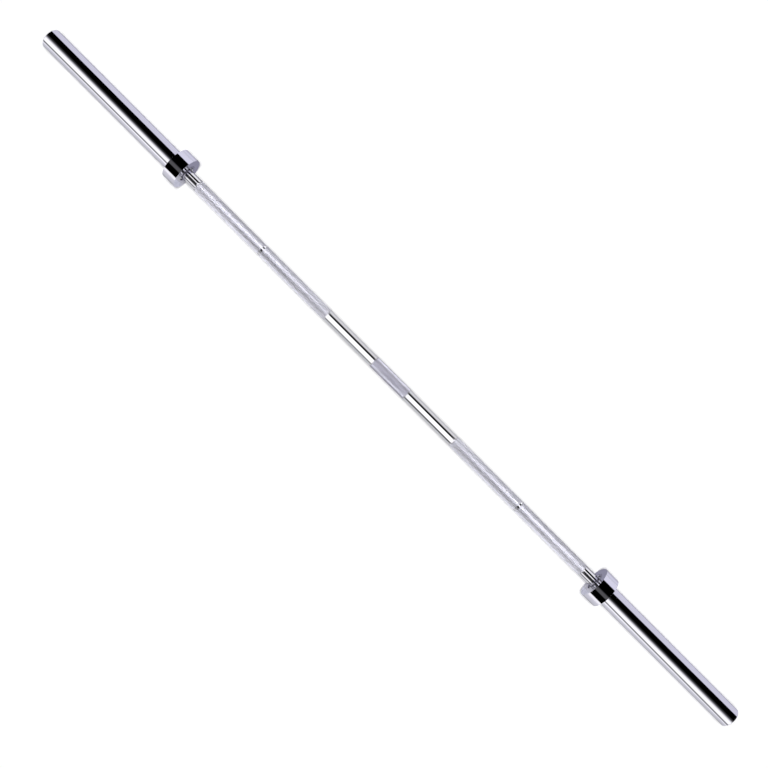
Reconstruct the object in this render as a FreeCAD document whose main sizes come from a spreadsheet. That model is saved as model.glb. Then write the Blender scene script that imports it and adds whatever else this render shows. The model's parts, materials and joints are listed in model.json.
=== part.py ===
"""Olympic barbell: a solid knurled shaft with a turning sleeve at each end.

The bar lies along X with its middle at the origin, and +X is its right-hand end. Every piece of an end is
drawn where it sits on the right, and the left end is the same set of pieces turned half round about Z.
Lengths are millimetres.
"""

import FreeCAD
import Part
import os
import Sketcher

# Driving dimensions: name, value and what it measures.
SIZES = (
    ("between_collars", 1310.0, "grip length, from one collar's inner face to the other's"),
    ("collar_width", 36.0, "collar, along the bar"),
    ("collar_diameter", 80.0, "collar, outside"),
    ("collar_edge_radius", 0.5, "rounding of the collar's two rims"),
    ("collar_seat_step", 0.5, "sleeve turned down under the collar, with a bevelled shoulder"),
    ("loading_length", 401.0, "sleeve outside the collar, where plates go"),
    ("sleeve_diameter", 50.0, "sleeve, outside"),
    ("sleeve_end_chamfer", 2.0, "bevel that leads plates on to the sleeve"),
    ("sleeve_mouth_chamfer", 0.8, "bevel inside each mouth of the sleeve"),
    ("shaft_diameter", 28.0, "shaft where it is smooth"),
    ("knurl_height", 0.25, "knurl crests above the smooth shaft"),
    ("centre_knurl_length", 104.0, "knurl band in the middle of the shaft"),
    ("plain_grip_length", 151.0, "smooth shaft on each side of the centre band"),
    ("mark_spacing", 820.0, "between the middles of the two ring marks"),
    ("mark_width", 5.0, "smooth ring left in each long knurl band"),
    ("plain_end_length", 39.0, "smooth shaft beside each collar"),
    ("shoulder_height", 1.5, "step from the shaft down to its journal"),
    ("shoulder_chamfer", 0.5, "bevel on the shaft's shoulder"),
    ("relief_width", 2.0, "grinding relief at the root of the journal"),
    ("relief_depth", 0.3, "depth of that relief"),
    ("shaft_end_chamfer", 1.0, "bevel on the shaft's end"),
    ("shaft_tail", 5.7, "shaft beyond its circlip groove"),
    ("roller_diameter", 2.42, "needle roller"),
    ("roller_length", 15.0, "needle roller"),
    ("roller_count", 18, "rollers in one needle bearing"),
    ("roller_gap", 0.03, "between a roller and each of its tracks"),
    ("cup_wall", 1.0, "drawn cup of a needle bearing"),
    ("cup_width", 20.0, "needle bearing, along the bar"),
    ("cup_lip_gap", 0.5, "between a cup's lip and the journal"),
    ("cage_wall", 1.0, "roller cage"),
    ("cage_end_gap", 0.3, "between the cage and each lip of its cup"),
    ("pocket_gap", 0.08, "between a roller and its pocket in the cage"),
    ("bearing_spacing", 6.0, "between a bush and the needle bearing beside it"),
    ("bush_length", 32.0, "bronze bush, behind its flange"),
    ("flange_thickness", 3.0, "flange of a bush"),
    ("flange_width", 2.5, "flange outside the bush"),
    ("bush_chamfer", 0.6, "bevels of a bush"),
    ("grease_groove_width", 3.0, "groove round the inside of a bush"),
    ("grease_groove_depth", 0.8, "depth of that groove"),
    ("washer_thickness", 2.0, "thrust washer"),
    ("washer_step", 0.5, "thrust washer inside the flange's rim"),
    ("washer_gap", 0.2, "between a thrust washer and the journal"),
    ("washer_chamfer", 0.3, "bevels of a thrust washer"),
    ("recess_depth", 8.0, "recess in the collar end of the sleeve"),
    ("pocket_depth", 15.0, "pocket for the flange, washer and circlip at the outer end"),
    ("flange_gap", 0.3, "between a flange and the wall round it"),
    ("cap_recess", 9.0, "from the sleeve's end in to the cap's seat"),
    ("cap_lip", 1.2, "ledge that the end cap sits on"),
    ("cap_thickness", 3.0, "end cap"),
    ("cap_gap", 0.1, "between the end cap and the sleeve"),
    ("cap_rim_width", 4.0, "raised rim round the end cap"),
    ("cap_dish_depth", 0.6, "dish inside that rim"),
    ("cap_chamfer", 0.5, "bevel of the end cap"),
    ("shaft_clip_thickness", 1.2, "circlip on the shaft"),
    ("shaft_clip_groove_depth", 0.55, "groove for it in the journal"),
    ("shaft_clip_wide", 3.4, "its width opposite the opening"),
    ("shaft_clip_narrow", 2.2, "its width at the opening"),
    ("shaft_clip_lug_radius", 2.2, "its eyed lugs"),
    ("shaft_clip_eye_radius", 1.0, "the eyes for pliers"),
    ("shaft_clip_opening", 3.0, "the opening between its lugs"),
    ("cap_clip_thickness", 1.75, "circlip in the sleeve's end"),
    ("cap_clip_groove_depth", 1.25, "groove for it in the sleeve"),
    ("cap_clip_wide", 3.9, "its width opposite the opening"),
    ("cap_clip_narrow", 2.6, "its width at the opening"),
    ("cap_clip_lug_radius", 2.6, "its eyed lugs"),
    ("cap_clip_eye_radius", 1.25, "the eyes for pliers"),
    ("cap_clip_opening", 8.0, "the opening between its lugs"),
    ("clip_slack", 0.1, "groove wider than its circlip"),
    ("clip_seat_gap", 0.02, "between a circlip and the floor of its groove"),
    ("running_gap", 0.05, "between a bush and the journal"),
    ("press_gap", 0.02, "between pieces that are pressed together"),
    ("end_float", 0.1, "play of a sleeve towards each thrust washer"),
)

SHEET = "Sizes"
HALF_TURN = 180
FULL_TURN = 360
ENDS = (("right", 0), ("left", HALF_TURN))
OUT_FOLDER = "parts"


def size(name):
    """The expression that reads one driving dimension from the sheet."""
    return f"{SHEET}.{name}"


# Radii of the shaft and of what runs on it, as expressions of the sheet's sizes.
SHAFT_R = f"{size('shaft_diameter')} / 2"
KNURL_R = f"{SHAFT_R} + {size('knurl_height')}"
JOURNAL_R = f"{SHAFT_R} - {size('shoulder_height')}"
RELIEF_R = f"{JOURNAL_R} - {size('relief_depth')}"
SHAFT_GROOVE_R = f"{JOURNAL_R} - {size('shaft_clip_groove_depth')}"
TRACK_R = f"{JOURNAL_R} + {size('roller_diameter')} + 2 * {size('roller_gap')}"
ROLLER_PITCH_R = f"{JOURNAL_R} + {size('roller_gap')} + {size('roller_diameter')} / 2"
CUP_R = f"{TRACK_R} + {size('cup_wall')}"
LIP_R = f"{JOURNAL_R} + {size('cup_lip_gap')}"
CAGE_IN_R = f"{ROLLER_PITCH_R} - {size('cage_wall')} / 2"
CAGE_OUT_R = f"{ROLLER_PITCH_R} + {size('cage_wall')} / 2"
BUSH_R = CUP_R
BUSH_BORE_R = f"{JOURNAL_R} + {size('running_gap')}"
FLANGE_R = f"{BUSH_R} + {size('flange_width')}"
WASHER_R = f"{FLANGE_R} - {size('washer_step')}"
WASHER_BORE_R = f"{JOURNAL_R} + {size('washer_gap')}"

# Radii of the sleeve, the collar and the end cap.
BORE_R = f"{BUSH_R} + {size('press_gap')}"
POCKET_R = f"{FLANGE_R} + {size('flange_gap')}"
CAP_SEAT_R = f"{POCKET_R} + {size('cap_lip')}"
CAP_GROOVE_R = f"{CAP_SEAT_R} + {size('cap_clip_groove_depth')}"
CAP_R = f"{CAP_SEAT_R} - {size('cap_gap')}"
SLEEVE_R = f"{size('sleeve_diameter')} / 2"
COLLAR_R = f"{size('collar_diameter')} / 2"
COLLAR_SEAT_R = f"{SLEEVE_R} - {size('collar_seat_step')}"

# Places along the right half of the bar, from its middle out.
CENTRE_KNURL_END = f"{size('centre_knurl_length')} / 2"
GRIP_START = f"{CENTRE_KNURL_END} + {size('plain_grip_length')}"
MARK_START = f"({size('mark_spacing')} - {size('mark_width')}) / 2"
MARK_END = f"({size('mark_spacing')} + {size('mark_width')}) / 2"
COLLAR_FACE = f"{size('between_collars')} / 2"
GRIP_END = f"{COLLAR_FACE} - {size('plain_end_length')}"
COLLAR_BACK = f"{COLLAR_FACE} + {size('collar_width')}"
COLLAR_SEAT_END = f"{COLLAR_BACK} - {size('collar_seat_step')}"
SLEEVE_END = f"{COLLAR_BACK} + {size('loading_length')}"
RECESS_FLOOR = f"{COLLAR_FACE} + {size('recess_depth')}"
INNER_FLANGE_FACE = f"{RECESS_FLOOR} - {size('flange_thickness')}"
INNER_WASHER_BACK = f"{INNER_FLANGE_FACE} - {size('end_float')}"
SHOULDER = f"{INNER_WASHER_BACK} - {size('washer_thickness')}"
INNER_BUSH_END = f"{RECESS_FLOOR} + {size('bush_length')}"
CAP_SEAT = f"{SLEEVE_END} - {size('cap_recess')}"
CAP_FACE = f"{CAP_SEAT} + {size('cap_thickness')}"
CAP_GROOVE_END = f"{CAP_FACE} + {size('cap_clip_thickness')} + {size('clip_slack')}"
CAP_CLIP_START = f"{CAP_FACE} + {size('clip_slack')} / 2"
POCKET_FLOOR = f"{CAP_SEAT} - {size('pocket_depth')}"
OUTER_FLANGE_FACE = f"{POCKET_FLOOR} + {size('flange_thickness')}"
OUTER_WASHER_START = f"{OUTER_FLANGE_FACE} + {size('end_float')}"
OUTER_WASHER_END = f"{OUTER_WASHER_START} + {size('washer_thickness')}"
SHAFT_GROOVE_END = f"{OUTER_WASHER_END} + {size('shaft_clip_thickness')} + {size('clip_slack')}"
SHAFT_CLIP_START = f"{OUTER_WASHER_END} + {size('clip_slack')} / 2"
SHAFT_END = f"{SHAFT_GROOVE_END} + {size('shaft_tail')}"
OUTER_BUSH_END = f"{POCKET_FLOOR} - {size('bush_length')}"
BEARING_STARTS = {
    "inner": f"{INNER_BUSH_END} + {size('bearing_spacing')}",
    "outer": f"{OUTER_BUSH_END} - {size('bearing_spacing')} - {size('cup_width')}",
}

doc = FreeCAD.newDocument("Barbell")


def make_sheet():
    """Writes the driving dimensions to the sheet, one row each: what it measures, its name and its value."""
    sheet = doc.addObject("Spreadsheet::Sheet", SHEET)
    for row, (name, value, meaning) in enumerate(SIZES, start=1):
        sheet.set(f"A{row}", meaning)
        sheet.set(f"B{row}", name)
        sheet.set(f"C{row}", str(value))
        sheet.setAlias(f"C{row}", name)
    doc.recompute()
    return sheet


def value_of(expression):
    """The number that an expression of the sheet's sizes comes to."""
    return float(sheet.evalExpression(expression))


def new_body(label, turn):
    """An empty body, turned about Z by the angle of its end of the bar."""
    body = doc.addObject("PartDesign::Body", label)
    body.Label = label
    body.Placement = FreeCAD.Placement(
        FreeCAD.Vector(), FreeCAD.Rotation(FreeCAD.Vector(0, 0, 1), turn)
    )
    return body


def origin_feature(body, role):
    """One of the body's own origin planes or axes, found by its role."""
    return next(f for f in body.Origin.OriginFeatures if f.Role == role)


def new_sketch(body, plane, name, along=None):
    """An empty sketch on an origin plane, moved along the plane's normal where a place is given."""
    sketch = body.newObject("Sketcher::SketchObject", name)
    sketch.AttachmentSupport = (origin_feature(body, plane), [""])
    sketch.MapMode = "FlatFace"
    if along is not None:
        sketch.setExpression("AttachmentOffset.Base.z", along)
    return sketch


def dimension(sketch, kind, vertex, expression):
    """Ties a vertex's distance from the sketch's origin, along X or Y, to an expression."""
    geometry, point = vertex
    index = sketch.addConstraint(
        Sketcher.Constraint(kind, -1, 1, geometry, point, value_of(expression))
    )
    sketch.setExpression(f"Constraints[{index}]", expression)


def draw_outline(sketch, outline):
    """Draws a closed outline through points that are pairs of expressions, and constrains it fully.

    A line along or square to the axis is held so, and only the other coordinates get a dimension.
    """
    points = [FreeCAD.Vector(value_of(x), value_of(y), 0) for x, y in outline]
    count = len(points)
    for i in range(count):
        sketch.addGeometry(Part.LineSegment(points[i], points[(i + 1) % count]), False)
    for i in range(count):
        following = (i + 1) % count
        sketch.addConstraint(Sketcher.Constraint("Coincident", i, 2, following, 1))
    for i, (x, y) in enumerate(outline):
        before = outline[i - 1] if i else (None, None)
        if x == "0":
            sketch.addConstraint(Sketcher.Constraint("PointOnObject", i, 1, -2))
        elif x == before[0]:
            sketch.addConstraint(Sketcher.Constraint("Vertical", i - 1))
        else:
            dimension(sketch, "DistanceX", (i, 1), x)
        if y == "0":
            sketch.addConstraint(Sketcher.Constraint("PointOnObject", i, 1, -1))
        elif y == before[1]:
            sketch.addConstraint(Sketcher.Constraint("Horizontal", i - 1))
        else:
            dimension(sketch, "DistanceY", (i, 1), y)


def draw_circle(sketch, centre, radius):
    """Draws a circle whose centre and radius are expressions, with a centre on an axis held there."""
    x, y = centre
    middle = FreeCAD.Vector(value_of(x), value_of(y), 0)
    circle = Part.Circle(middle, FreeCAD.Vector(0, 0, 1), value_of(radius))
    geometry = sketch.addGeometry(circle, False)
    if x == "0":
        sketch.addConstraint(Sketcher.Constraint("PointOnObject", geometry, 3, -2))
    else:
        dimension(sketch, "DistanceX", (geometry, 3), x)
    if y == "0":
        sketch.addConstraint(Sketcher.Constraint("PointOnObject", geometry, 3, -1))
    else:
        dimension(sketch, "DistanceY", (geometry, 3), y)
    index = sketch.addConstraint(Sketcher.Constraint("Radius", geometry, value_of(radius)))
    sketch.setExpression(f"Constraints[{index}]", radius)


def turn_outline(body, outline):
    """Turns an outline of (along, radius) points about the bar's axis."""
    sketch = new_sketch(body, "XZ_Plane", "outline")
    draw_outline(sketch, outline)
    turned = body.newObject("PartDesign::Revolution", "turned")
    turned.Profile = sketch
    turned.ReferenceAxis = (sketch, ["H_Axis"])
    turned.Angle = FULL_TURN
    body.Tip = turned
    return turned


def pad(body, sketch, thickness):
    """Raises a sketch by a thickness, away from the middle of the bar."""
    raised = body.newObject("PartDesign::Pad", "pad")
    raised.Profile = sketch
    raised.setExpression("Length", thickness)
    body.Tip = raised
    return raised


def cut_through(body, sketch, depth):
    """Cuts a sketch through to a depth, away from the middle of the bar."""
    cut = body.newObject("PartDesign::Pocket", "cut")
    cut.Profile = sketch
    cut.setExpression("Length", depth)
    cut.Reversed = True
    body.Tip = cut
    return cut


def repeat_round(body, feature, count):
    """Repeats a feature round the bar's axis."""
    pattern = body.newObject("PartDesign::PolarPattern", "pattern")
    pattern.Originals = [feature]
    pattern.Axis = (origin_feature(body, "X_Axis"), [""])
    pattern.Angle = FULL_TURN
    pattern.setExpression("Occurrences", count)
    body.Tip = pattern
    return pattern


def make_shaft():
    """The shaft in one piece: knurl bands stand proud, and each end steps down to a sleeve's journal."""
    body = new_body("shaft", 0)
    rise = size("knurl_height")
    bevel = size("shoulder_chamfer")
    end_bevel = size("shaft_end_chamfer")
    relief_end = f"{SHOULDER} + {size('relief_width')}"
    half = turn_outline(
        body,
        [
            ("0", "0"),
            ("0", KNURL_R),
            (f"{CENTRE_KNURL_END} - {rise}", KNURL_R),
            (CENTRE_KNURL_END, SHAFT_R),
            (GRIP_START, SHAFT_R),
            (f"{GRIP_START} + {rise}", KNURL_R),
            (f"{MARK_START} - {rise}", KNURL_R),
            (MARK_START, SHAFT_R),
            (MARK_END, SHAFT_R),
            (f"{MARK_END} + {rise}", KNURL_R),
            (f"{GRIP_END} - {rise}", KNURL_R),
            (GRIP_END, SHAFT_R),
            (f"{SHOULDER} - {bevel}", SHAFT_R),
            (SHOULDER, f"{SHAFT_R} - {bevel}"),
            (SHOULDER, RELIEF_R),
            (relief_end, RELIEF_R),
            (f"{relief_end} + {size('relief_depth')}", JOURNAL_R),
            (OUTER_WASHER_END, JOURNAL_R),
            (OUTER_WASHER_END, SHAFT_GROOVE_R),
            (SHAFT_GROOVE_END, SHAFT_GROOVE_R),
            (SHAFT_GROOVE_END, JOURNAL_R),
            (f"{SHAFT_END} - {end_bevel}", JOURNAL_R),
            (SHAFT_END, f"{JOURNAL_R} - {end_bevel}"),
            (SHAFT_END, "0"),
        ],
    )
    mirrored = body.newObject("PartDesign::Mirrored", "other_half")
    mirrored.Originals = [half]
    mirrored.MirrorPlane = (origin_feature(body, "YZ_Plane"), [""])
    body.Tip = mirrored
    return body


def make_sleeve_tube(end, turn):
    """The tube that plates slide on, bored for its bearings.

    Its inner end is turned down for the collar, and its outer mouth has a ledge and a groove for the cap.
    """
    body = new_body(f"{end}_sleeve_tube", turn)
    bevel = size("sleeve_end_chamfer")
    mouth = size("sleeve_mouth_chamfer")
    turn_outline(
        body,
        [
            (COLLAR_FACE, COLLAR_SEAT_R),
            (COLLAR_SEAT_END, COLLAR_SEAT_R),
            (COLLAR_BACK, SLEEVE_R),
            (f"{SLEEVE_END} - {bevel}", SLEEVE_R),
            (SLEEVE_END, f"{SLEEVE_R} - {bevel}"),
            (SLEEVE_END, f"{CAP_SEAT_R} + {mouth}"),
            (f"{SLEEVE_END} - {mouth}", CAP_SEAT_R),
            (CAP_GROOVE_END, CAP_SEAT_R),
            (CAP_GROOVE_END, CAP_GROOVE_R),
            (CAP_FACE, CAP_GROOVE_R),
            (CAP_FACE, CAP_SEAT_R),
            (CAP_SEAT, CAP_SEAT_R),
            (CAP_SEAT, POCKET_R),
            (POCKET_FLOOR, POCKET_R),
            (POCKET_FLOOR, BORE_R),
            (RECESS_FLOOR, BORE_R),
            (RECESS_FLOOR, POCKET_R),
            (f"{COLLAR_FACE} + {mouth}", POCKET_R),
            (COLLAR_FACE, f"{POCKET_R} + {mouth}"),
        ],
    )
    return body


def make_collar(end, turn):
    """The ring that plates stop against, pressed up to the sleeve's shoulder, with rounded rims."""
    body = new_body(f"{end}_collar", turn)
    bore_r = f"{COLLAR_SEAT_R} + {size('press_gap')}"
    ring = turn_outline(
        body,
        [
            (COLLAR_FACE, COLLAR_R),
            (COLLAR_BACK, COLLAR_R),
            (COLLAR_BACK, f"{SLEEVE_R} + {size('press_gap')}"),
            (COLLAR_SEAT_END, bore_r),
            (COLLAR_FACE, bore_r),
        ],
    )
    doc.recompute()
    rim_edges = [
        f"Edge{i}"
        for i, edge in enumerate(ring.Shape.Edges, start=1)
        if isinstance(edge.Curve, Part.Circle)
        and abs(edge.Curve.Radius - value_of(COLLAR_R)) < value_of(size("press_gap"))
    ]
    rounding = body.newObject("PartDesign::Fillet", "rims")
    rounding.Base = (ring, rim_edges)
    rounding.setExpression("Radius", size("collar_edge_radius"))
    body.Tip = rounding
    return body


def make_bush(end, turn, place):
    """A flanged bronze bush with a grease groove. Its flange takes the sleeve's thrust."""
    body = new_body(f"{end}_{place}_bush", turn)
    bevel = size("bush_chamfer")
    half_groove = f"{size('grease_groove_width')} / 2"
    groove_r = f"{BUSH_BORE_R} + {size('grease_groove_depth')}"
    if place == "inner":
        seat, tip, face, inward = RECESS_FLOOR, INNER_BUSH_END, INNER_FLANGE_FACE, "-"
    else:
        seat, tip, face, inward = POCKET_FLOOR, OUTER_BUSH_END, OUTER_FLANGE_FACE, "+"
    middle = f"({seat} + {tip}) / 2"
    outward = "+" if inward == "-" else "-"
    turn_outline(
        body,
        [
            (face, f"{BUSH_BORE_R} + {bevel}"),
            (face, f"{FLANGE_R} - {bevel}"),
            (f"{face} {outward} {bevel}", FLANGE_R),
            (seat, FLANGE_R),
            (seat, BUSH_R),
            (f"{tip} {inward} {bevel}", BUSH_R),
            (tip, f"{BUSH_R} - {bevel}"),
            (tip, f"{BUSH_BORE_R} + {bevel}"),
            (f"{tip} {inward} {bevel}", BUSH_BORE_R),
            (f"{middle} {outward} {half_groove}", BUSH_BORE_R),
            (f"{middle} {outward} {half_groove}", groove_r),
            (f"{middle} {inward} {half_groove}", groove_r),
            (f"{middle} {inward} {half_groove}", BUSH_BORE_R),
            (f"{face} {outward} {bevel}", BUSH_BORE_R),
        ],
    )
    return body


def make_thrust_washer(end, turn, place):
    """A flat steel washer on the journal, between the shaft's stop and a bush's flange."""
    body = new_body(f"{end}_{place}_thrust_washer", turn)
    bevel = size("washer_chamfer")
    if place == "inner":
        start, finish = SHOULDER, INNER_WASHER_BACK
    else:
        start, finish = OUTER_WASHER_START, OUTER_WASHER_END
    turn_outline(
        body,
        [
            (start, WASHER_BORE_R),
            (start, f"{WASHER_R} - {bevel}"),
            (f"{start} + {bevel}", WASHER_R),
            (f"{finish} - {bevel}", WASHER_R),
            (finish, f"{WASHER_R} - {bevel}"),
            (finish, WASHER_BORE_R),
        ],
    )
    return body


def make_bearing_cup(end, turn, place):
    """The drawn cup of a needle bearing: a thin shell whose ends are turned in to keep the rollers."""
    body = new_body(f"{end}_{place}_bearing_cup", turn)
    start = BEARING_STARTS[place]
    finish = f"{start} + {size('cup_width')}"
    wall = size("cup_wall")
    turn_outline(
        body,
        [
            (start, LIP_R),
            (start, f"{CUP_R} - {wall}"),
            (f"{start} + {wall}", CUP_R),
            (f"{finish} - {wall}", CUP_R),
            (finish, f"{CUP_R} - {wall}"),
            (finish, LIP_R),
            (f"{finish} - {wall}", LIP_R),
            (f"{finish} - {wall}", TRACK_R),
            (f"{start} + {wall}", TRACK_R),
            (f"{start} + {wall}", LIP_R),
        ],
    )
    return body


def make_bearing_cage(end, turn, place):
    """The cage of a needle bearing: a thin ring with a pocket for each roller."""
    body = new_body(f"{end}_{place}_bearing_cage", turn)
    inset = f"({size('cup_wall')} + {size('cage_end_gap')})"
    start = f"{BEARING_STARTS[place]} + {inset}"
    finish = f"{BEARING_STARTS[place]} + {size('cup_width')} - {inset}"
    turn_outline(
        body,
        [(start, CAGE_IN_R), (start, CAGE_OUT_R), (finish, CAGE_OUT_R), (finish, CAGE_IN_R)],
    )
    middle = f"({start} + {finish}) / 2"
    half_length = f"({size('roller_length')} / 2 + {size('pocket_gap')})"
    half_width = f"{size('roller_diameter')} / 2 + {size('pocket_gap')}"
    sketch = new_sketch(body, "XY_Plane", "pocket")
    draw_outline(
        sketch,
        [
            (f"{middle} - {half_length}", f"-({half_width})"),
            (f"{middle} + {half_length}", f"-({half_width})"),
            (f"{middle} + {half_length}", half_width),
            (f"{middle} - {half_length}", half_width),
        ],
    )
    pocket = cut_through(body, sketch, f"{CAGE_OUT_R} + {size('cage_wall')}")
    repeat_round(body, pocket, size("roller_count"))
    return body


def make_bearing_rollers(end, turn, place):
    """The needle rollers of one bearing: separate pins in a ring about the journal."""
    body = new_body(f"{end}_{place}_bearing_rollers", turn)
    body.AllowCompound = True
    middle = f"{BEARING_STARTS[place]} + {size('cup_width')} / 2"
    sketch = new_sketch(body, "YZ_Plane", "roller", f"{middle} - {size('roller_length')} / 2")
    draw_circle(sketch, ("0", ROLLER_PITCH_R), f"{size('roller_diameter')} / 2")
    roller = pad(body, sketch, size("roller_length"))
    repeat_round(body, roller, size("roller_count"))
    return body


def make_end_cap(end, turn):
    """The disc that closes the sleeve's end, with a rim and a shallow bare dish."""
    body = new_body(f"{end}_end_cap", turn)
    bevel = size("cap_chamfer")
    dish_r = f"{CAP_R} - {size('cap_rim_width')}"
    dish_floor = f"{CAP_FACE} - {size('cap_dish_depth')}"
    turn_outline(
        body,
        [
            (CAP_SEAT, "0"),
            (CAP_SEAT, CAP_R),
            (f"{CAP_FACE} - {bevel}", CAP_R),
            (CAP_FACE, f"{CAP_R} - {bevel}"),
            (CAP_FACE, dish_r),
            (dish_floor, f"{dish_r} - {size('cap_dish_depth')}"),
            (dish_floor, "0"),
        ],
    )
    return body


def make_circlip(label, turn, clip, start, seat_r, opens_out):
    """A circlip with tapering arms, eyed lugs and an opening at the top.

    A clip on the shaft grips its groove with its inner edge and has its lugs outside. A clip in the sleeve
    is the other way round.
    """
    body = new_body(label, turn)
    wide, narrow = size(f"{clip}_wide"), size(f"{clip}_narrow")
    lug_r, opening = size(f"{clip}_lug_radius"), size(f"{clip}_opening")
    thickness = size(f"{clip}_thickness")
    mean_width = f"({wide} + {narrow}) / 2"
    shift = f"({wide} - {narrow}) / 2"
    if opens_out:
        grip_r = f"{seat_r} + {size('clip_seat_gap')}"
        free_edge = (("0", f"-({shift})"), f"{grip_r} + {mean_width}")
        lug_reach = f"({grip_r} + {lug_r})"
    else:
        grip_r = f"{seat_r} - {size('clip_seat_gap')}"
        free_edge = (("0", shift), f"{grip_r} - {mean_width}")
        lug_reach = f"({grip_r} - {lug_r})"
    lug_side = f"({opening} / 2 + {lug_r})"
    lug_height = f"sqrt({lug_reach} ^ 2 - {lug_side} ^ 2)"
    lugs = [(lug_side, lug_height), (f"-{lug_side}", lug_height)]

    ring = new_sketch(body, "YZ_Plane", "ring", start)
    draw_circle(ring, ("0", "0"), grip_r)
    draw_circle(ring, *free_edge)
    pad(body, ring, thickness)
    lug_sketch = new_sketch(body, "YZ_Plane", "lugs", start)
    for centre in lugs:
        draw_circle(lug_sketch, centre, lug_r)
    pad(body, lug_sketch, thickness)
    gap_sketch = new_sketch(body, "YZ_Plane", "opening", start)
    gap_top = f"{grip_r} + {wide} + {lug_r}"
    draw_outline(
        gap_sketch,
        [
            (f"-({opening} / 2)", "0"),
            (f"{opening} / 2", "0"),
            (f"{opening} / 2", gap_top),
            (f"-({opening} / 2)", gap_top),
        ],
    )
    cut_through(body, gap_sketch, thickness)
    eye_sketch = new_sketch(body, "YZ_Plane", "eyes", start)
    for centre in lugs:
        draw_circle(eye_sketch, centre, size(f"{clip}_eye_radius"))
    cut_through(body, eye_sketch, thickness)
    return body


def make_end(end, turn):
    """Every piece of one end of the bar, from the collar out to the end cap."""
    pieces = [make_sleeve_tube(end, turn), make_collar(end, turn), make_end_cap(end, turn)]
    for place in ("inner", "outer"):
        pieces.append(make_bush(end, turn, place))
        pieces.append(make_thrust_washer(end, turn, place))
        pieces.append(make_bearing_cup(end, turn, place))
        pieces.append(make_bearing_cage(end, turn, place))
        pieces.append(make_bearing_rollers(end, turn, place))
    pieces.append(
        make_circlip(
            f"{end}_shaft_circlip", turn, "shaft_clip", SHAFT_CLIP_START, SHAFT_GROOVE_R, True
        )
    )
    pieces.append(
        make_circlip(f"{end}_cap_circlip", turn, "cap_clip", CAP_CLIP_START, CAP_GROOVE_R, False)
    )
    return pieces


def check(pieces):
    """Stops the build if any feature failed or any piece has no sound solid."""
    for item in doc.Objects:
        if "Invalid" in item.State or "Error" in item.State:
            raise RuntimeError(f"{item.Label} failed: {item.State}")
    for piece in pieces:
        if piece.Shape.isNull() or not piece.Shape.isValid() or not piece.Shape.Solids:
            raise RuntimeError(f"{piece.Label} has no sound solid")


def export(pieces):
    """Writes each piece to a file that has its name."""
    os.makedirs(OUT_FOLDER, exist_ok=True)
    for piece in pieces:
        piece.Shape.exportStep(os.path.join(OUT_FOLDER, f"{piece.Label}.step"))
        volume = sum(solid.Volume for solid in piece.Shape.Solids)
        print(f"{piece.Label}: {len(piece.Shape.Solids)} solids, {volume:.0f} mm3")


sheet = make_sheet()
all_pieces = [make_shaft()]
for end_name, end_turn in ENDS:
    all_pieces += make_end(end_name, end_turn)
doc.recompute()
check(all_pieces)
export(all_pieces)
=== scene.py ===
# %% [markdown]
# A straight lifting bar is a long steel shaft with a sleeve at each end that turns freely on it.
# The CAD model already has every piece in its place, so the lesson starts by loading it as a fixed frame.
# Nothing that is loaded gets moved. Each new surface is worked out in the same frame, in metres, and the box
# of the loaded model is kept.

# %% Load the imported model
import json
import math

import bmesh
import bpy
import numpy as np
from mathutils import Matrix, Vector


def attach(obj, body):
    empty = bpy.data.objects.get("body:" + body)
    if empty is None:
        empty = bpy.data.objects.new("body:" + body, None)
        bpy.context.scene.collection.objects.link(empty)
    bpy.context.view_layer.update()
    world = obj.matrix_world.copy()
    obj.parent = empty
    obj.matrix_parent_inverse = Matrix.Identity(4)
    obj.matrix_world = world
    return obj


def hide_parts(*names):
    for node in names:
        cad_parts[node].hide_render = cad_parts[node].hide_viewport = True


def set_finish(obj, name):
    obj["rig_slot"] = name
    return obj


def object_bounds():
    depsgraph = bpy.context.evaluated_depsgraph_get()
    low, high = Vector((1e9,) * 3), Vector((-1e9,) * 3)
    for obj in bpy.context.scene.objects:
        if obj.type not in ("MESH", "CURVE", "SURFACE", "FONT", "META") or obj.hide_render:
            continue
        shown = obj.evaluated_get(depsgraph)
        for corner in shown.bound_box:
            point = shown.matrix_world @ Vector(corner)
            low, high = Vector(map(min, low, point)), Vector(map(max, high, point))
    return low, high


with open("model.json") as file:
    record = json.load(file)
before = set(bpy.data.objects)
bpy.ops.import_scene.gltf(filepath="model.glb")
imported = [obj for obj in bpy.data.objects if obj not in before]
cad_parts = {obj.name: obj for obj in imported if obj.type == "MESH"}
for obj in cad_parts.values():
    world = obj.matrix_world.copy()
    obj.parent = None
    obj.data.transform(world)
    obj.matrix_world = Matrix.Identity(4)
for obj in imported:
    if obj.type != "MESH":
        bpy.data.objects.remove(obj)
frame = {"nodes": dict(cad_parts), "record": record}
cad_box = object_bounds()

scene = bpy.context.scene
print("CAD box in mm:", [round(1000 * side) for side in cad_box[1] - cad_box[0]])

# %% [markdown]
# The photograph looks straight down on the bar, which crosses the square picture from corner to corner.
# A camera that isn't turned looks down along Z, so one turn about Z lays the bar on the diagonal.
# How much the raised collars lean outwards in the picture gives the distance, and the bar's length the lens.

# %% Camera above the bar
PICTURE_SIDE = 768
SENSOR_MM = 36.0
FOCAL_PIXELS = 869.0
BAR_SLANT = 45.016
EYE = (-0.0006, -0.0198, 1.9757)

camera_data = bpy.data.cameras.new("camera")
camera_data.sensor_width = SENSOR_MM
camera_data.lens = SENSOR_MM * FOCAL_PIXELS / PICTURE_SIDE
camera = bpy.data.objects.new("camera", camera_data)
camera.location = EYE
camera.rotation_euler = (0, 0, math.radians(BAR_SLANT))
scene.collection.objects.link(camera)
scene.camera = camera
print("lens", round(camera_data.lens, 2), "mm at a height of", EYE[2], "m")

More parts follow.
